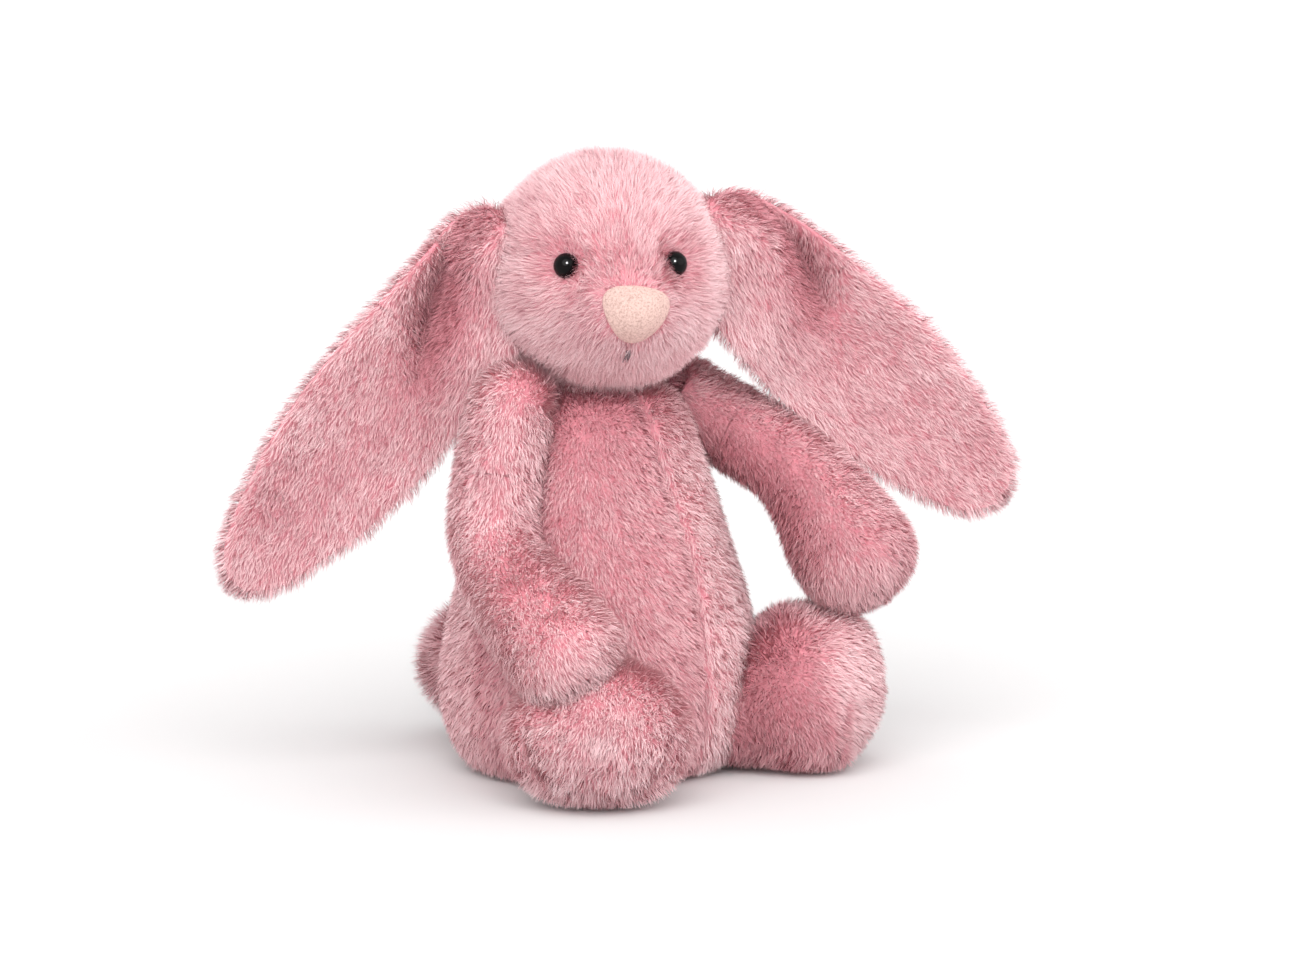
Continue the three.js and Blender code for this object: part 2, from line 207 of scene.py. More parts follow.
# ---- Meshes ----
def new_object(name, points, faces):
    mesh = bpy.data.meshes.new(name)
    mesh.from_pydata(points.tolist(), [], faces)
    mesh.validate()
    mesh.polygons.foreach_set("use_smooth", [True] * len(mesh.polygons))
    thing = bpy.data.objects.new(name, mesh)
    bpy.context.scene.collection.objects.link(thing)
    return thing


def skin_object(name, surface, first=0, last=None):
    """A closed mesh of some rows of a surface, each end closed with rungs from side to side."""
    rows = surface.points[first:last]
    if first == 0 and last is None:
        rows = rows[1:-1]
    count, columns = rows.shape[:2]
    points = rows.reshape(-1, 3)
    around = [(j, (j + 1) % columns) for j in range(columns)]
    faces = [(i * columns + j, i * columns + k, (i + 1) * columns + k, (i + 1) * columns + j)
             for i in range(count - 1) for j, k in around]
    half = columns // 2
    rungs = [(0, 1, columns - 1)] + [(j, j + 1, columns - j - 1, columns - j) for j in range(1, half - 1)]
    rungs += [(half - 1, half, half + 1)]
    end = (count - 1) * columns
    faces += [rung[::-1] for rung in rungs] + [tuple(end + j for j in rung) for rung in rungs]
    thing = new_object(name, points, faces)
    mesh = thing.data
    centre = points.mean(axis=0)
    outward = sum((np.array(f.center) - centre) @ np.array(f.normal) * f.area for f in mesh.polygons)
    if outward < 0:
        mesh.flip_normals()
    return thing


def sample(surface, seed):
    """Random roots for the pile, spread evenly over the cloth."""
    rng = np.random.default_rng(seed)
    p = surface.points
    corner = p[:-1]
    down = p[1:]
    beside = np.roll(p, -1, axis=1)[:-1]
    area = np.linalg.norm(np.cross(down - corner, beside - corner), axis=-1)
    area = area * surface.thick[:-1]
    count = int(area.sum() * DENSITY * THINNED * surface.fine)
    picked = rng.choice(area.size, count, p=(area / area.sum()).ravel())
    row, column = np.divmod(picked, area.shape[1])
    s, t = rng.random((2, count))

    def at(field):
        following = np.roll(field, -1, axis=1)
        extra = (1,) * (field.ndim - 2)
        u, v = s.reshape(-1, *extra), t.reshape(-1, *extra)
        return ((field[row, column] * (1 - u) + field[row + 1, column] * u) * (1 - v)
                + (following[row, column] * (1 - u) + following[row + 1, column] * u) * v)

    return rng, at, row + s


def coat(surface, seed):
    """The blades of pile on a surface: their roots' rows, points, normals and tones."""
    rng, at, rows = sample(surface, seed)
    root, normal = at(surface.points), unit(at(surface.normals))
    lean, length = at(surface.lean), at(surface.pile)
    count = len(root)
    tuft = wander(root, SMALL_TUFT, seed) * 0.5 + wander(root, LARGE_TUFT, seed + 1) * 0.3
    tuft = tuft * surface.ruffle
    stray = rng.normal(0, 1, (count, 3))
    length = length * rng.uniform(0.72, 1.12, count) * (1 + 0.12 * tuft[:, 0])
    first = unit(normal + 0.55 * lean + 0.25 * tuft + 0.14 * stray)
    second = unit(0.75 * normal + 1.0 * lean + 0.65 * tuft + 0.2 * stray - 0.10 * UP)
    half = root + first * (0.5 * length)[:, None]
    tip = half + second * (0.5 * length)[:, None]
    side = unit(np.cross(first + second, normal + 0.7 * rng.normal(0, 1, (count, 3))))
    facing = (np.cross(side, first + second) * normal).sum(axis=1)
    side = np.where((facing < 0)[:, None], -side, side)
    width = (BLADE * rng.uniform(0.7, 1.25, count) / surface.fine)[:, None]
    root = root - normal * 0.3 * MM
    blades = np.stack([root - side * width / 2, root + side * width / 2,
                       half - side * width * 0.42, half + side * width * 0.42, tip], axis=1)
    blades[..., 2] = np.maximum(blades[..., 2], FLOOR_GAP)
    face = unit(np.cross(side, second))
    shade = unit(0.65 * normal + 0.35 * face + 0.12 * stray)
    blotch = wander(root, BLOTCH, seed + 2)[:, 0]
    # Tone: random differences between blades and patches, plus the painted light and shade of the surface.
    tone = 0.62 + at(surface.painted_light_and_shade) + 0.13 * rng.normal(0, 1, count) + 0.24 * tuft[:, 1] + 0.12 * blotch
    tone = np.clip(tone, 0, 1)
    return rows, blades, shade, tone


def blade_object(name, blades, shade, tone):
    """One mesh of all the blades given: a quad and a tip for each."""
    count = len(blades)
    mesh = bpy.data.meshes.new(name)
    mesh.vertices.add(5 * count)
    mesh.vertices.foreach_set("co", blades.astype(np.float32).ravel())
    base = np.arange(count)[:, None] * 5
    corners = np.concatenate([base + np.array([[0, 1, 3, 2]]), base + np.array([[2, 3, 4]])], axis=1)
    mesh.loops.add(7 * count)
    mesh.loops.foreach_set("vertex_index", corners.astype(np.int32).ravel())
    mesh.polygons.add(2 * count)
    starts = np.arange(count)[:, None] * 7 + np.array([[0, 4]])
    mesh.polygons.foreach_set("loop_start", starts.astype(np.int32).ravel())
    mesh.polygons.foreach_set("use_smooth", np.ones(2 * count, bool))
    along = mesh.attributes.new("along", "FLOAT", "POINT")
    along.data.foreach_set("value", np.tile(np.array([0, 0, 0.5, 0.5, 1], np.float32), count))
    shades = mesh.attributes.new("tone", "FLOAT", "POINT")
    shades.data.foreach_set("value", np.repeat(tone.astype(np.float32), 5))
    mesh.update(calc_edges=True)
    mesh.normals_split_custom_set_from_vertices(np.repeat(shade, 5, axis=0).tolist())
    thing = bpy.data.objects.new(name, mesh)
    bpy.context.scene.collection.objects.link(thing)
    return thing


# ---- Materials ----
def srgb(r, g, b):
    def linear(c):
        c /= 255
        return c / 12.92 if c <= 0.04045 else ((c + 0.055) / 1.055) ** 2.4
    return (linear(r), linear(g), linear(b), 1.0)


def new_material(name, roughness, sheen=0.0, specular=0.3):
    material = bpy.data.materials.new(name)
    material.use_nodes = True
    shader = material.node_tree.nodes["Principled BSDF"]
    shader.inputs["Roughness"].default_value = roughness
    shader.inputs["Sheen Weight"].default_value = sheen
    shader.inputs["Sheen Tint"].default_value = (1.0, 0.55, 0.6, 1)
    shader.inputs["Specular IOR Level"].default_value = specular
    return material, material.node_tree, shader


def node(tree, kind, **settings):
    made = tree.nodes.new(kind)
    for key, value in settings.items():
        if key in made.inputs:
            made.inputs[key].default_value = value
        else:
            setattr(made, key, value)
    return made


def ramp(tree, factor, stops):
    made = tree.nodes.new("ShaderNodeValToRGB")
    for spare in list(made.color_ramp.elements)[1:]:
        made.color_ramp.elements.remove(spare)
    for i, (place, colour) in enumerate(stops):
        stop = made.color_ramp.elements[0] if i == 0 else made.color_ramp.elements.new(place)
        stop.position = place
        stop.color = colour
    tree.links.new(factor, made.inputs["Fac"])
    return made.outputs["Color"]


def pile_material(name, deep, root, mid, tip, pale):
    """Plush pile: deep colour at the roots, light at the tips, and every blade a little different. The
    root-to-tip ramp is partly the fibre's colour and partly painted shade down in the pile and painted
    light in the tips, and the tone that mixes the dark and light ramps carries painted light and shade.
    """
    material, tree, shader = new_material(name, 0.75, sheen=0.25, specular=0.15)
    along = node(tree, "ShaderNodeAttribute", attribute_name="along")
    tone = node(tree, "ShaderNodeAttribute", attribute_name="tone")
    dark = ramp(tree, along.outputs["Fac"], [(0.0, deep), (0.6, root), (1.0, mid)])
    light = ramp(tree, along.outputs["Fac"], [(0.0, mid), (0.5, tip), (1.0, pale)])
    mix = node(tree, "ShaderNodeMix", data_type="RGBA")
    tree.links.new(tone.outputs["Fac"], mix.inputs["Factor"])
    tree.links.new(dark, mix.inputs[6])
    tree.links.new(light, mix.inputs[7])
    tree.links.new(mix.outputs[2], shader.inputs["Base Color"])
    return material


def cloth_material(name, deep, mid):
    """The knitted backing under the pile."""
    material, tree, shader = new_material(name, 0.95, sheen=0.2, specular=0.1)
    place = node(tree, "ShaderNodeTexCoord")
    noise = node(tree, "ShaderNodeTexNoise", Scale=900.0, Detail=4.0)
    tree.links.new(place.outputs["Object"], noise.inputs["Vector"])
    tree.links.new(ramp(tree, noise.outputs["Fac"], [(0.3, deep), (0.7, mid)]), shader.inputs["Base Color"])
    bump = node(tree, "ShaderNodeBump", Strength=0.4, Distance=0.0006)
    tree.links.new(noise.outputs["Fac"], bump.inputs["Height"])
    tree.links.new(bump.outputs["Normal"], shader.inputs["Normal"])
    return material


# Colours along a blade from root to tip: the deep roots are partly painted shade and the pale tips partly
# painted light.
DEEP = srgb(168, 92, 102)
ROOT = srgb(206, 130, 140)
MID = srgb(241, 181, 188)
TIP = srgb(252, 213, 217)
PALE = srgb(255, 240, 240)
pile_pink = pile_material("pile_pink", DEEP, ROOT, MID, TIP, PALE)
cloth_pink = cloth_material("cloth_pink", srgb(214, 134, 146), srgb(230, 158, 168))


def suede_material():
    material, tree, shader = new_material("nose_suede", 0.95, sheen=0.35, specular=0.1)
    place = node(tree, "ShaderNodeTexCoord")
    grain = node(tree, "ShaderNodeTexNoise", Scale=1300.0, Detail=5.0, Roughness=0.75)
    tree.links.new(place.outputs["Object"], grain.inputs["Vector"])
    colour = ramp(tree, grain.outputs["Fac"], [(0.34, srgb(168, 136, 128)), (0.5, srgb(203, 172, 163)),
                                              (0.66, srgb(219, 190, 181))])
    tree.links.new(colour, shader.inputs["Base Color"])
    bump = node(tree, "ShaderNodeBump", Strength=0.7, Distance=0.0004)
    tree.links.new(grain.outputs["Fac"], bump.inputs["Height"])
    tree.links.new(bump.outputs["Normal"], shader.inputs["Normal"])
    return material


def eye_material():
    material, tree, shader = new_material("eye_plastic", 0.07, specular=0.5)
    shader.inputs["IOR"].default_value = 1.22
    place = node(tree, "ShaderNodeTexCoord")
    cloud = node(tree, "ShaderNodeTexNoise", Scale=300.0, Detail=2.0)
    tree.links.new(place.outputs["Object"], cloud.inputs["Vector"])
    colour = ramp(tree, cloud.outputs["Fac"], [(0.35, srgb(3, 2, 3)), (0.7, srgb(12, 8, 8))])
    tree.links.new(colour, shader.inputs["Base Color"])
    return material


def thread_material():
    material, tree, shader = new_material("mouth_thread", 0.8, sheen=0.2)
    place = node(tree, "ShaderNodeTexCoord")
    ply = node(tree, "ShaderNodeTexWave", Scale=700.0, Distortion=2.0)
    tree.links.new(place.outputs["Object"], ply.inputs["Vector"])
    colour = ramp(tree, ply.outputs["Fac"], [(0.2, srgb(58, 46, 52)), (0.8, srgb(98, 82, 88))])
    tree.links.new(colour, shader.inputs["Base Color"])
    return material


nose_suede = suede_material()
eye_plastic = eye_material()
mouth_thread = thread_material()


def dress(thing, material):
    thing.data.materials.clear()
    thing.data.materials.append(material)


# ---- Putting a soft part together ----
def soft_part(name, surface, splits, seed):
    """Skins and coats for one soft part.

    splits lists (piece name, first row, last row, how it moves, nodes it stands for).
    """
    rows, blades, shade, tone = coat(surface, seed)
    for piece, first, last, attach, nodes in splits:
        skin = skin_object(piece, surface, max(first - 1, 0), last)
        dress(skin, cloth_pink)
        attach(skin)
        if nodes:
            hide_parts(*nodes)
        mine = (rows >= first) & (rows < (last - 1 if last is not None else np.inf))
        lots = math.ceil(mine.sum() / THINNED / MOST_BLADES)
        for number, lot in enumerate(np.array_split(np.flatnonzero(mine), lots)):
            pile = blade_object(f"{piece}_pile_{number + 1}", blades[lot], shade[lot], tone[lot])
            dress(pile, pile_pink)
            attach(pile)


def riding(body):
    return lambda thing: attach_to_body(thing, body)


def bending():
    return lambda thing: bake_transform(thing)


def lumps(surface, amount, size, seed):
    """The small unevenness of hand-stuffed cloth."""
    surface.push(wander(surface.flat(), size, seed)[:, 0].reshape(surface.points.shape[:2]) * amount)


# ---- Torso ----
torso_axis = pivot("head_turn") * [1, 1, 0]
SEAM_BOW = 7 * MM             # how far the front seam wanders from the middle low down
TORSO_DEEP = 0.94             # depth against width
# Heights and radii in mm, from the middle of the base to the middle of the top.
TORSO_PROFILE = [(0, 0), (0.3, 36), (2.5, 42.5), (8, 48), (18, 51.6), (32, 52.8), (47, 51.6), (64, 47.6),
                 (84, 41), (104, 34), (118, 29.6), (127, 24), (132, 13), (134, 0)]


def torso_skin():
    """The smooth turned shape of the torso."""
    heights, radii = np.array(TORSO_PROFILE, float).T * MM
    run = np.concatenate([[0], np.cumsum(np.hypot(np.diff(heights), np.diff(radii)))])
    fine = np.linspace(0, run[-1], 150)
    z, r = np.interp(fine, run, heights), np.interp(fine, run, radii)
    for _ in range(6):
        z[2:-2] = (z[1:-3] + 2 * z[2:-2] + z[3:-1]) / 4
        r[2:-2] = (r[1:-3] + 2 * r[2:-2] + r[3:-1]) / 4
    turn = np.linspace(0, 2 * math.pi, 160, endpoint=False)
    ring = np.stack([np.cos(turn), TORSO_DEEP * np.sin(turn), 0 * turn], axis=1)
    return Surface(torso_axis + r[:, None, None] * ring + z[:, None, None] * UP)


def torso_surface():
    surface = torso_skin()
    surface.fine = 0.95
    surface.ruffle = 0.85
    local = surface.points - torso_axis
    off_base = smooth((local[..., 2] - 4 * MM) / (10 * MM))
    seam = SEAM_BOW * smooth((126 * MM - local[..., 2]) / (60 * MM))
    from_seam = local[..., 0] - seam
    front = (local[..., 1] < 0) & (np.abs(from_seam) < 20 * MM)
    groove = np.exp(-(from_seam / (2.0 * MM)) ** 2) * front
    surface.push(-2.6 * MM * groove * off_base)
    lump = wander(surface.flat(), 26 * MM, 5)[:, 0].reshape(off_base.shape)
    surface.push(lump * 0.9 * MM * off_base)
    sideways = np.tanh(from_seam / (4 * MM)) * (local[..., 1] < 0)
    comb = -0.95 * UP - np.array([1.0, 0, 0]) * (0.3 * sideways)[..., None]
    surface.comb(comb)
    local = surface.points - torso_axis
    # Painted light and shade: the pile is painted darker in the seam groove and under the chin, and the front
    # panel on the -x side of the seam darker and the one on the +x side lighter, for how the light falls.
    chin_shadow = smooth((local[..., 2] - 100 * MM) / (22 * MM))
    surface.painted_light_and_shade = 0.25 * sideways - 0.5 * groove - 0.3 * chin_shadow
    surface.pile = 0.88 * PILE * (0.25 + 0.75 * smooth(local[..., 2] / (6 * MM))) * (1 - 0.4 * groove)
    surface.thick = np.where(local[..., 2] < 0.2 * MM, 0.02, 1.0)
    return surface


# ---- Head ----
head_axis = axis_of("head_nod")
face_way = np.array([head_axis[1], -head_axis[0], 0.0])
head_basis = np.array([head_axis, -face_way, UP])
crown_low, crown_high = (np.array(corner, float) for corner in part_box("head_crown_gusset"))
head_middle = np.array([*(pivot("head_nod")[:2]), (crown_low[2] + crown_high[2]) / 2 - 1.0 * MM])
HEAD_RADII = np.array([38.0, 37.8, 38.0]) * MM
MUZZLE = 12.5 * MM
NOSE_ASIDE = 1.6 * MM         # the nose is sewn a little off the middle
MOUTH_ASIDE = 0.2 * MM
EYE_SPREAD = {1: 18.5 * MM, -1: 20.0 * MM}
EYE_HEIGHT = 6.8 * MM
NOSE_HEIGHT = -7.6 * MM
MOUTH_HEIGHT = -23.6 * MM
NOSE_TILT = math.radians(-8)
NOSE_WIDE, NOSE_TALL = 11.2 * MM, 9.7 * MM    # half sizes
EYE_RADIUS = 4.3 * MM
EYE_SUNK = 1.9 * MM
THREAD_RADIUS = 0.42 * MM


def head_place(local):
    """From the head's own frame, facing -Y, to the row frame."""
    return head_middle + local @ head_basis


def muzzle(x, z, forward):
    """How far the muzzle stands out of the ball of the head."""
    across, upward = (x - NOSE_ASIDE) / (21 * MM), (z + 11 * MM) / (18 * MM)
    return MUZZLE * forward * np.exp(-across ** 2 - upward ** 2)


def face_point(x, z, proud=0.0):
    """The place on the front of the head at a distance across and a height."""
    round_off = math.sqrt(max(0.0, 1 - (x / HEAD_RADII[0]) ** 2 - (z / HEAD_RADII[2]) ** 2))
    y = -HEAD_RADII[1] * round_off - muzzle(x, z, round_off) - proud
    return np.array([x, y, z])


def face_normal(x, z):
    step = 0.5 * MM
    across = face_point(x + step, z) - face_point(x - step, z)
    upward = face_point(x, z + step) - face_point(x, z - step)
    return unit(np.cross(across, upward))


def eye_local(side):
    return face_point(side * EYE_SPREAD[side], EYE_HEIGHT)


def head_surface():
    polar = np.linspace(0, math.pi, 150)
    turn = np.linspace(0, 2 * math.pi, 200, endpoint=False)
    ring = np.stack([np.outer(np.sin(polar), np.cos(turn)), np.outer(np.sin(polar), np.sin(turn)),
                     np.outer(np.cos(polar), np.ones_like(turn))], axis=-1)
    local = ring * HEAD_RADII
    low_cheeks = 1 + 0.045 * np.exp(-((local[..., 2] + 10 * MM) / (17 * MM)) ** 2)
    local[..., 0] *= low_cheeks
    forward = np.clip(-ring[..., 1], 0, 1)
    local[..., 1] -= muzzle(local[..., 0], local[..., 2], forward)
    surface = Surface(head_place(local))
    dent = sum(np.exp(-(np.linalg.norm(local - eye_local(s), axis=-1) / (7.5 * MM)) ** 2) for s in (1, -1))
    surface.fine = 1.35
    surface.ruffle = 1.25
    surface.push(-3.4 * MM * dent)
    lumps(surface, 0.5 * MM, 24 * MM, 8)
    nose = head_place(face_point(NOSE_ASIDE, NOSE_HEIGHT, -6 * MM))
    away = unit(surface.points - nose)
    comb = away * 0.85 - 0.22 * UP
    near_eyes = 0
    for s in (1, -1):
        eye = head_place(eye_local(s))
        gap = np.linalg.norm(surface.points - eye, axis=-1)
        near = np.exp(-(gap / (10 * MM)) ** 2)[..., None]
        comb = comb * (1 - near) + near * 1.3 * unit(surface.points - eye)
        near_eyes = near_eyes + (gap < 3.6 * MM)
    surface.comb(comb)
    from_nose = local - face_point(NOSE_ASIDE, NOSE_HEIGHT)
    # Painted shade: the pile is darker in the eye sockets and low on the back of the head.
    low = smooth((-14 * MM - local[..., 2]) / (20 * MM))
    surface.painted_light_and_shade = 0.02 - 0.35 * dent - 0.25 * low * (local[..., 1] > 0)
    patch = (from_nose[..., 0] / (11.5 * MM)) ** 2 + (from_nose[..., 2] / (10 * MM)) ** 2
    front = local[..., 1] < 0
    surface.pile = PILE * (1 - 0.45 * dent) * np.where(front, np.clip(0.45 + 0.4 * (patch - 0.7), 0.45, 1), 1)
    surface.thick = np.where((near_eyes > 0) | (front & (patch < 0.72)), 0.0, 1.0)
    return surface


def make_eye(name, side):
    """A domed safety eye: a half ball with a rolled rim and a flat back."""
    seat = face_point(side * EYE_SPREAD[side], EYE_HEIGHT)
    outward = face_normal(side * EYE_SPREAD[side], EYE_HEIGHT)
    steps = [(a, EYE_RADIUS) for a in np.radians(np.linspace(0, 100, 18))]
    profile = [(r * math.sin(a), r * math.cos(a)) for a, r in steps] + [(EYE_RADIUS * 0.7, -EYE_RADIUS * 0.4)]
    turn = np.linspace(0, 2 * math.pi, 48, endpoint=False)
    across = unit(np.cross(UP, outward))
    over = np.cross(outward, across)
    centre = seat - outward * EYE_SUNK
    spoke = np.cos(turn)[:, None] * across + np.sin(turn)[:, None] * over
    rows = [centre + outward * h + r * spoke for r, h in profile]
    rows = [rows[0]] + rows + [np.repeat(rows[-1].mean(axis=0)[None], len(turn), axis=0)]
    eye = skin_object(name, Surface(head_place(np.array(rows))))
    dress(eye, eye_plastic)
    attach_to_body(eye, "head")
    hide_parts(name)


def make_nose():
    """A puffed patch of suede in the shape of a triangle with round corners."""
    turn = np.linspace(0, 2 * math.pi, 120, endpoint=False)
    radius = 1 + 0.10 * np.cos(3 * (turn + math.pi / 2)) + 0.012 * np.cos(6 * (turn + math.pi / 2))
    upright = np.stack([NOSE_WIDE * radius * np.cos(turn), NOSE_TALL * radius * np.sin(turn)], axis=1)
    outline = upright @ np.array([[math.cos(NOSE_TILT), math.sin(NOSE_TILT)],
                                  [-math.sin(NOSE_TILT), math.cos(NOSE_TILT)]])
    front, back = [], []
    for share in np.sin(np.linspace(0, math.pi / 2, 26)):
        ring = outline * max(share, 1e-4)
        puffed = (2.6 + 1.5 * math.sqrt(max(0, 1 - share ** 3))) * MM
        front.append([face_point(x + NOSE_ASIDE, z + NOSE_HEIGHT, puffed) for x, z in ring])
        back.append([face_point(x + NOSE_ASIDE, z + NOSE_HEIGHT, 1.4 * MM) for x, z in ring * 0.97])
    rows = np.array([front[0]] + front + back[::-1] + [back[0]])
    nose = skin_object("nose", Surface(head_place(rows)))
    dress(nose, nose_suede)
    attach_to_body(nose, "head")
    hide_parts("nose_patch")


def make_mouth():
    """A short upright stitch of thick thread, laid twice."""
    for number, shift in enumerate((-0.35 * MM, 0.4 * MM)):
        line = np.array([face_point(MOUTH_ASIDE + shift * (1 + 0.6 * k / 4),
                                    MOUTH_HEIGHT + (2.6 - 1.3 * k) * MM,
                                    (2.2 + 1.6 * math.sin(math.pi * k / 4)) * MM) for k in range(5)])
        fine, run = bend_line(head_place(line), 28)
        radius = THREAD_RADIUS * rounded(run, 0.6 * MM, 0.6 * MM)
        side = np.tile(head_axis, (len(fine), 1))
        thread = skin_object(f"mouth_thread_{number + 1}", swept(fine, radius, radius, side, 12))
        dress(thread, mouth_thread)
        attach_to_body(thread, "head")
        if number == 0:
            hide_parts("mouth_stitch")


# ---- Arms ----
# All in mm, but for the painted shade. The first three say how far the skins sag from the frame.
PAW_DROP = {"left": np.array([2.5, -3.0, -3.0]), "right": np.array([-1.5, -13.5, -12.5])}
ELBOW_DROP = {"left": np.array([0.0, 0.0, 0.0]), "right": np.array([3.5, -1.0, -1.0])}
SHOULDER_LIFT = {"left": np.array([0.0, 0.0, 1.0]), "right": np.array([-2.5, 0.0, 4.0])}
# Painted light and shade of each whole arm: the far left arm darker, the right a little lighter.
ARM_PAINTED_SHADE = {"left": -0.2, "right": 0.05}
ARM_RADIUS = 12.9
PAW_SWELL = {"left": 6.0, "right": 4.8}


def arm_surface(name, side):
    shoulder, elbow = pivot(f"arm_{name}_raise"), pivot(f"elbow_{name}_bend")
    paw = middle(f"paw_{name}_beans")
    inward = unit((torso_axis - shoulder) * [1, 1, 0])
    reach = unit(paw - elbow)
    start = shoulder + inward * 10 * MM + 3 * MM * UP
    top = shoulder + inward * 2 * MM + SHOULDER_LIFT[name] * MM
    drop = PAW_DROP[name] * MM
    line, run = bend_line([start, top, elbow + ELBOW_DROP[name] * MM, paw + drop - reach * 2 * MM,
                           paw + drop + reach * 13 * MM], 130)
    share = run / run[-1]
    radius = (ARM_RADIUS + PAW_SWELL[name] * smooth((share - 0.45) / 0.4)) * MM
    radius = radius * rounded(run, 11 * MM, 15 * MM)
    across = np.cross(np.gradient(line, axis=0), UP)
    surface = swept(line, radius, radius * 0.98, across, 96)
    lumps(surface, 0.7 * MM, 17 * MM, 20 + side)
    along = unit(np.gradient(line, axis=0))[:, None]
    surface.comb(np.broadcast_to(0.85 * along - 0.1 * UP, surface.points.shape))
    surface.pile = surface.pile * 0.94
    # Painted shade on the side of the arm that faces the torso, fading out toward the paw.
    shaded_side = smooth(surface.normals @ inward - 0.1) * (1 - smooth((share - 0.6) / 0.3))[:, None]
    surface.painted_light_and_shade = ARM_PAINTED_SHADE[name] - 0.4 * shaded_side
    return surface


def make_arm(name, side, seed):
    shoulder, elbow = pivot(f"arm_{name}_raise"), pivot(f"elbow_{name}_bend")
    surface = arm_surface(name, side)
    line = surface.points.mean(axis=1)
    at_elbow = int(np.argmin(np.linalg.norm(line - elbow, axis=1)))
    at_shoulder = int(np.argmin(np.linalg.norm(line - shoulder, axis=1)))
    split = (at_elbow + at_shoulder) // 2
    upper_way = unit(elbow - shoulder)
    fore_way = unit(line[min(at_elbow + 20, len(line) - 1)] - elbow)
    bend_way = unit(upper_way + fore_way)
    parts = ["top", "under", "stuffing"]
    soft_part(name, surface, [
        (f"arm_{name}_upper", 0, split, bending(),
         [f"upper_arm_{name}_{part}" for part in parts]),
        (f"arm_{name}_fore", split - 1, None, bending(),
         [f"forearm_{name}_{part}" for part in parts] + [f"paw_{name}_beans"]),
    ], seed)


# ---- Legs ----
LEG_SHADE = {"left": 0.6, "right": 0.1}     # how much darker the pile is on the inner side
FOOT_HEIGHT = {"left": 27.5, "right": 25.5}    # of the foot's middle, in mm
FOOT_TALL = {"left": 1.09, "right": 0.9}    # height against width: a paw rests on the right foot
FOOT_ASIDE = {"left": np.array([4.0, 0, 0]), "right": np.array([0, 0, 0])}    # from the frame, in mm


def leg_surface(name, side, hip, foot, way):
    body = hip - way * 14 * MM
    foot_middle = (foot + FOOT_ASIDE[name] * MM) * [1, 1, 0] + FOOT_HEIGHT[name] * MM * UP
    controls = [body * [1, 1, 0] + 19 * MM * UP, hip * [1, 1, 0] + 20 * MM * UP,
                (hip + way * 14 * MM) * [1, 1, 0] + 23.5 * MM * UP, foot_middle,
                foot_middle + way * 14.5 * MM]
    line, run = bend_line(controls, 120)
    along = unit(np.gradient(line, axis=0))
    share = run / run[-1]
    swell = smooth((share - 0.12) / 0.5)
    radius = (17.5 + 9.5 * swell) * MM * rounded(run, 9 * MM, 25 * MM)
    across = np.cross(along, UP)
    surface = swept(line, radius * 1.06, radius * FOOT_TALL[name], across, 112)
    lumps(surface, 0.8 * MM, 18 * MM, 40 + side)
    sole = np.exp(-(((surface.points - foot_middle) @ way - 3 * MM) / (1.6 * MM)) ** 2)
    sole = sole * smooth((foot_middle[2] + 8 * MM - surface.points[..., 2]) / (14 * MM))
    surface.push(-1.6 * MM * sole)
    surface.rest()
    sideways = np.cross(way, UP)
    facing = smooth(((surface.points - foot_middle) @ way - 4 * MM) / (18 * MM))[..., None]
    high = smooth((surface.points[..., 2] - 5 * MM) / (14 * MM))[..., None]
    surface.comb(way * (1.0 * high - 0.3) - 0.5 * UP * high + 0.45 * sideways * facing)
    surface.pile = PILE * (0.4 + 0.6 * smooth((surface.points[..., 2] - 1 * MM) / (7 * MM)))
    # Painted shade: the pile is darker in the sole seam and on the leg's inner side, toward the body, and the
    # whole leg is painted a little lighter.
    shaded_side = smooth(0.25 - side * surface.normals[..., 0])
    surface.painted_light_and_shade = 0.1 - 0.5 * sole - LEG_SHADE[name] * shaded_side
    return surface


def make_leg(name, side, seed):
    hip, foot = pivot(f"leg_{name}_hang"), middle(f"foot_{name}_beans")
    way = unit((foot - hip) * [1, 1, 0])
    soft_part(name, leg_surface(name, side, hip, foot, way), [
        (f"leg_{name}", 0, None, bending(),
         [f"leg_{name}_top", f"leg_{name}_under", f"leg_{name}_stuffing", f"foot_{name}_beans"]),
    ], seed)


# ---- Ears ----
EAR_LENGTH = {"left": 1.90, "right": 2.01}     # whole length against the length from root to fold
EAR_WIDER = {"left": (0.8, 3.6), "right": (0.2, 2.6)}    # extra half width at the root and the tip, in mm
EAR_VALLEY = {"left": (0.95, 2.4), "right": (0.85, 3.1)}    # where the pleat starts, and its slope
EAR_SINK = {"left": (-2.0, 2.8), "right": (5.5, 3.0)}    # how far the root and the tip hang lower, in mm
# Shares of the length, and half the ear's width there in mm.
EAR_OUTLINE = [(0, 17), (0.08, 20.5), (0.2, 22.5), (0.38, 23.8), (0.55, 23), (0.72, 19.6), (0.86, 13.8),
               (0.94, 9.2), (1, 5)]


def ear_half_width(name, share):
    at, half_widths = np.array(EAR_OUTLINE, float).T
    half = np.interp(share, at, half_widths * MM)
    for _ in range(12):
        half[1:-1] = (half[:-2] + 2 * half[1:-1] + half[2:]) / 4
    half += np.interp(share, [0, 0.15, 0.6], [0, *EAR_WIDER[name]]) * MM
    round_tip = np.sqrt(1 - (1 - np.clip((1 - share) / 0.07, 0, 1)) ** 2)
    return half * round_tip * np.sqrt(np.clip(share / 0.03, 0, 1))


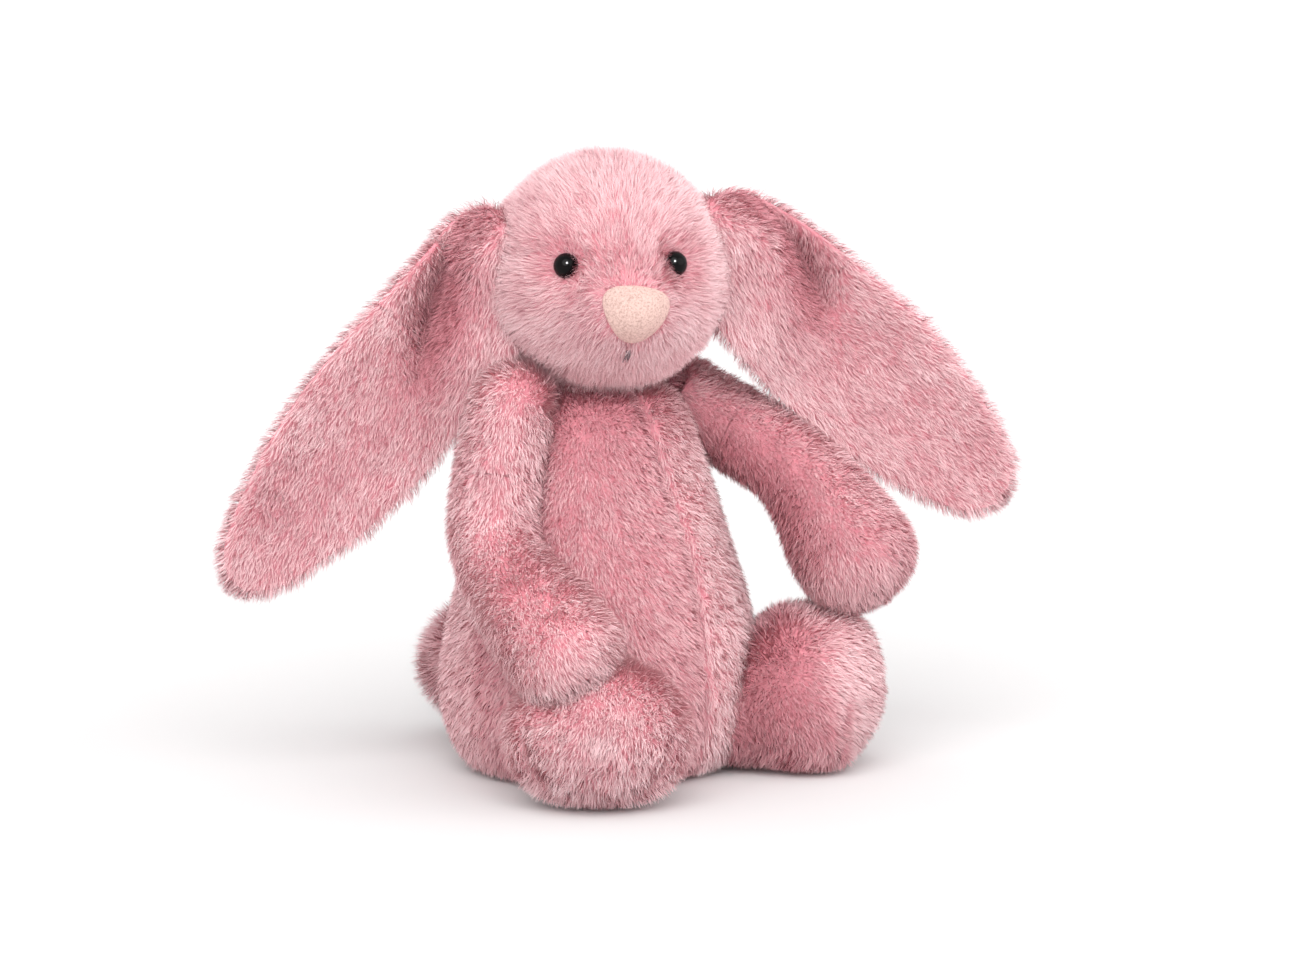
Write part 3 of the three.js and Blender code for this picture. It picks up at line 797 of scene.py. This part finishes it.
def ear_surface(name, side, root, fold, inside):
    """The skin of an ear, and the line down its middle."""
    way = unit(fold - root)
    length = np.linalg.norm(fold - root) * EAR_LENGTH[name]
    back = -face_way
    across = unit(np.cross(way, back))
    if across[2] < 0:
        across = -across
    controls = [root + inside * 9 * MM, root + way * 4 * MM, root + way * 0.33 * length,
                root + way * 0.66 * length, root + way * (length + 1.5 * MM)]
    line, run = bend_line(controls, 150)
    share = run / run[-1]
    half = ear_half_width(name, share)
    line = line - across * (np.interp(share, [0, 0.1, 1], [0, *EAR_SINK[name]]) * MM)[:, None]
    thick = np.minimum((3.6 + 4.2 * np.exp(-(share / 0.16) ** 2)) * MM, half)
    sideways = np.broadcast_to(across, line.shape)
    surface = swept(line, half, thick, sideways, 128)
    offset = (surface.points - line[:, None]) @ across
    part = offset / np.maximum(half, 1e-6)[:, None]
    cup = 5.0 * MM * smooth(share / 0.2) * (1 - 0.4 * smooth((share - 0.6) / 0.4))
    column = np.linspace(0, 2 * math.pi, 128, endpoint=False)
    over = np.cross(unit(np.gradient(line, axis=0)), across) @ face_way
    front = smooth(0.5 + 1.5 * np.sin(column)[None, :] * np.sign(over)[:, None])
    fade = (1 - smooth((share - 0.2) / 0.22))[:, None]
    begins, slopes = EAR_VALLEY[name]
    valley = part - begins + slopes * share[:, None]
    lobe = smooth(0.5 - valley / 0.5) * fade
    crease = np.exp(-((valley - 0.06) / 0.2) ** 2) * fade
    forward = cup[:, None] * (part ** 2 - 0.35) - 8.5 * MM * np.exp(-((valley - 0.17) / 0.32) ** 2) * fade
    forward = forward + 7.5 * MM * lobe - 2.0 * MM * crease * front
    surface.points = surface.points + face_way * forward[..., None]
    surface.refresh()
    lumps(surface, 0.6 * MM, 20 * MM, 60 + side)
    outward = unit(surface.points - line[:, None])
    comb = 0.85 * way + 0.35 * outward * np.abs(part)[..., None] - 0.05 * UP
    drape = (lobe * front)[..., None]
    surface.comb(comb * (1 - drape) + (0.35 * way - 0.8 * UP) * drape)
    surface.pile = PILE * (1 - front * (0.18 - 0.2 * np.abs(part)))
    # Painted shade in the pleat's crease and near the root, where the head shades the ear, and painted light
    # at the rims, as if lit from behind.
    crease_shadow = np.exp(-((valley - 0.05) / 0.45) ** 2) * np.exp(-((share[:, None] - 0.24) / 0.13) ** 2)
    surface.painted_light_and_shade = front * (-0.1 - 0.6 * crease - 0.65 * crease_shadow) + 0.22 * np.abs(part) ** 2
    surface.ruffle = 1.1
    return surface, line


def make_ear(name, side, seed):
    root, fold = pivot(f"ear_{name}_flap"), pivot(f"ear_{name}_fold")
    way = unit(fold - root)
    inside = unit(head_middle + 2 * MM * UP - root)
    surface, line = ear_surface(name, side, root, fold, inside)
    at_fold = int(np.argmin(np.linalg.norm(line - fold, axis=1)))
    split = at_fold // 2 + 6
    soft_part(name, surface, [
        (f"ear_{name}_root", 0, split, bending(),
         [f"ear_{name}_lining_root", f"ear_{name}_back_root"]),
        (f"ear_{name}_end", split - 1, None, bending(),
         [f"ear_{name}_lining_tip", f"ear_{name}_back_tip"]),
    ], seed)


# ---- Tail and neck ----
TAIL_SHIFT = np.array([-4, 0.5, -6.5]) * MM
TAIL_RADII = np.array([17.5, 17.5, 17]) * MM
NECK_HEIGHT = 133 * MM
NECK_RADII = np.array([17, 16, 7]) * MM


def ball_surface(centre, radii, seed, amount):
    polar = np.linspace(0, math.pi, 60)
    turn = np.linspace(0, 2 * math.pi, 80, endpoint=False)
    ring = np.stack([np.outer(np.sin(polar), np.cos(turn)), np.outer(np.sin(polar), np.sin(turn)),
                     np.outer(np.cos(polar), np.ones_like(turn))], axis=-1)
    surface = Surface(centre + ring * radii)
    lumps(surface, amount, 12 * MM, seed)
    return surface


def make_tail():
    tail = ball_surface(middle("tail_stuffing") + TAIL_SHIFT, TAIL_RADII, 71, 1.2 * MM)
    tail.comb(0.35 * (wander(tail.flat(), 8 * MM, 3).reshape(tail.points.shape)) - 0.15 * UP)
    tail.pile = tail.pile * 1.5
    soft_part("tail", tail, [("tail", 0, None, riding("torso"),
                              ["tail_cover_upper", "tail_cover_lower", "tail_stuffing"])], 701)


def make_neck():
    neck = ball_surface(torso_axis + NECK_HEIGHT * UP, NECK_RADII, 72, 0.3 * MM)
    neck.comb(np.broadcast_to(-0.6 * UP, neck.points.shape))
    neck.pile = neck.pile * 0.7
    soft_part("neck", neck, [("neck", 0, None, riding("neck"), ["neck_stuffing"])], 702)


def make_torso():
    soft_part("torso", torso_surface(), [("torso", 0, None, riding("torso"), [
        "torso_front_left", "torso_front_right", "torso_back", "torso_base", "torso_stuffing",
        "seat_bean_pouch"])], 101)


def make_head():
    soft_part("head", head_surface(), [("head", 0, None, riding("head"), [
        "head_muzzle_gusset", "head_crown_gusset", "head_side_left", "head_side_right", "head_stuffing",
        "eye_washer_left", "eye_washer_right"])], 201)
    make_eye("eye_left", 1)
    make_eye("eye_right", -1)
    make_nose()
    make_mouth()


make_torso()
make_neck()
make_head()
make_tail()
for number, (name, side) in enumerate((("left", 1), ("right", -1))):
    make_arm(name, side, 301 + 10 * number)
    make_leg(name, side, 401 + 10 * number)
    make_ear(name, side, 501 + 10 * number)


# ---- Studio ----
AZIMUTH = math.radians(-38)
ELEVATION = math.radians(9.5)
DISTANCE = 2.2
FRAME_WIDTH = 444.5 * MM      # width of the view at the bunny
AIM_RIGHT, AIM_UP = 8.6 * MM, 96.8 * MM
SUN_SPREAD = math.radians(60)
KEY_POWER, FILL_POWER, GLINT_POWER = 2.3, 0.9, 34
GLINT_SIZE = 0.3              # the small lamp that lights the eyes, in m
FACE_HEIGHT = 0.17            # in m
SKY_STRENGTH = 1.02
FLOOR_HALF = 4.0              # in m
FLOOR_COLOUR = (0.74, 0.73, 0.73, 1)


def view_axes():
    back = np.array([math.sin(AZIMUTH) * math.cos(ELEVATION), -math.cos(AZIMUTH) * math.cos(ELEVATION),
                     math.sin(ELEVATION)])
    right = np.array([math.cos(AZIMUTH), math.sin(AZIMUTH), 0])
    return back, right, np.cross(back, right)


def make_camera():
    back, right, over = view_axes()
    aim = right * AIM_RIGHT + over * AIM_UP
    data = bpy.data.cameras.new("camera")
    data.sensor_width = 36
    data.lens = 36 * DISTANCE / FRAME_WIDTH
    camera = bpy.data.objects.new("camera", data)
    bpy.context.scene.collection.objects.link(camera)
    camera.location = aim + back * DISTANCE
    camera.rotation_euler = Vector(-back).to_track_quat("-Z", "Y").to_euler()
    bpy.context.scene.camera = camera


def area_light(name, place, target, size, power):
    data = bpy.data.lights.new(name, "AREA")
    data.size = size
    data.energy = power
    lamp = bpy.data.objects.new(name, data)
    bpy.context.scene.collection.objects.link(lamp)
    lamp.location = place
    lamp.rotation_euler = (Vector(target) - Vector(place)).to_track_quat("-Z", "Y").to_euler()
    return lamp


def sun_light(name, toward, power):
    data = bpy.data.lights.new(name, "SUN")
    data.energy = power
    data.angle = SUN_SPREAD
    lamp = bpy.data.objects.new(name, data)
    bpy.context.scene.collection.objects.link(lamp)
    lamp.rotation_euler = Vector(toward).to_track_quat("Z", "Y").to_euler()


def make_floor():
    corners = np.array([(-1, -1, 0), (1, -1, 0), (1, 1, 0), (-1, 1, 0)]) * FLOOR_HALF
    floor = new_object("floor", corners, [(0, 1, 2, 3)])
    material, _, shader = new_material("floor_white", 0.9, specular=0.1)
    shader.inputs["Base Color"].default_value = FLOOR_COLOUR
    dress(floor, material)


def make_world():
    """A white world, a little darker overhead."""
    world = bpy.data.worlds.new("studio")
    bpy.context.scene.world = world
    world.use_nodes = True
    tree = world.node_tree
    way = node(tree, "ShaderNodeTexCoord")
    part = node(tree, "ShaderNodeSeparateXYZ")
    tree.links.new(way.outputs["Generated"], part.inputs["Vector"])
    white, overhead = (1, 1, 1, 1), (0.85, 0.85, 0.85, 1)
    sky = ramp(tree, part.outputs["Z"], [(0.0, white), (0.45, white), (0.9, overhead)])
    tree.links.new(sky, tree.nodes["Background"].inputs["Color"])
    tree.nodes["Background"].inputs["Strength"].default_value = SKY_STRENGTH


def make_lights():
    back, right, _ = view_axes()
    sun_light("key", back * 1.0 - right * 0.1 + UP * 0.62, KEY_POWER)
    sun_light("fill", back * 0.45 + right * 0.9 + UP * 0.35, FILL_POWER)
    place = back * 0.9 + right * 0.1 + UP * 0.6
    glint = area_light("glint", place, (0, 0, FACE_HEIGHT), GLINT_SIZE, GLINT_POWER)
    glint.visible_diffuse = False


make_camera()
make_floor()
make_world()
make_lights()
bpy.context.scene.view_settings.view_transform = "Standard"
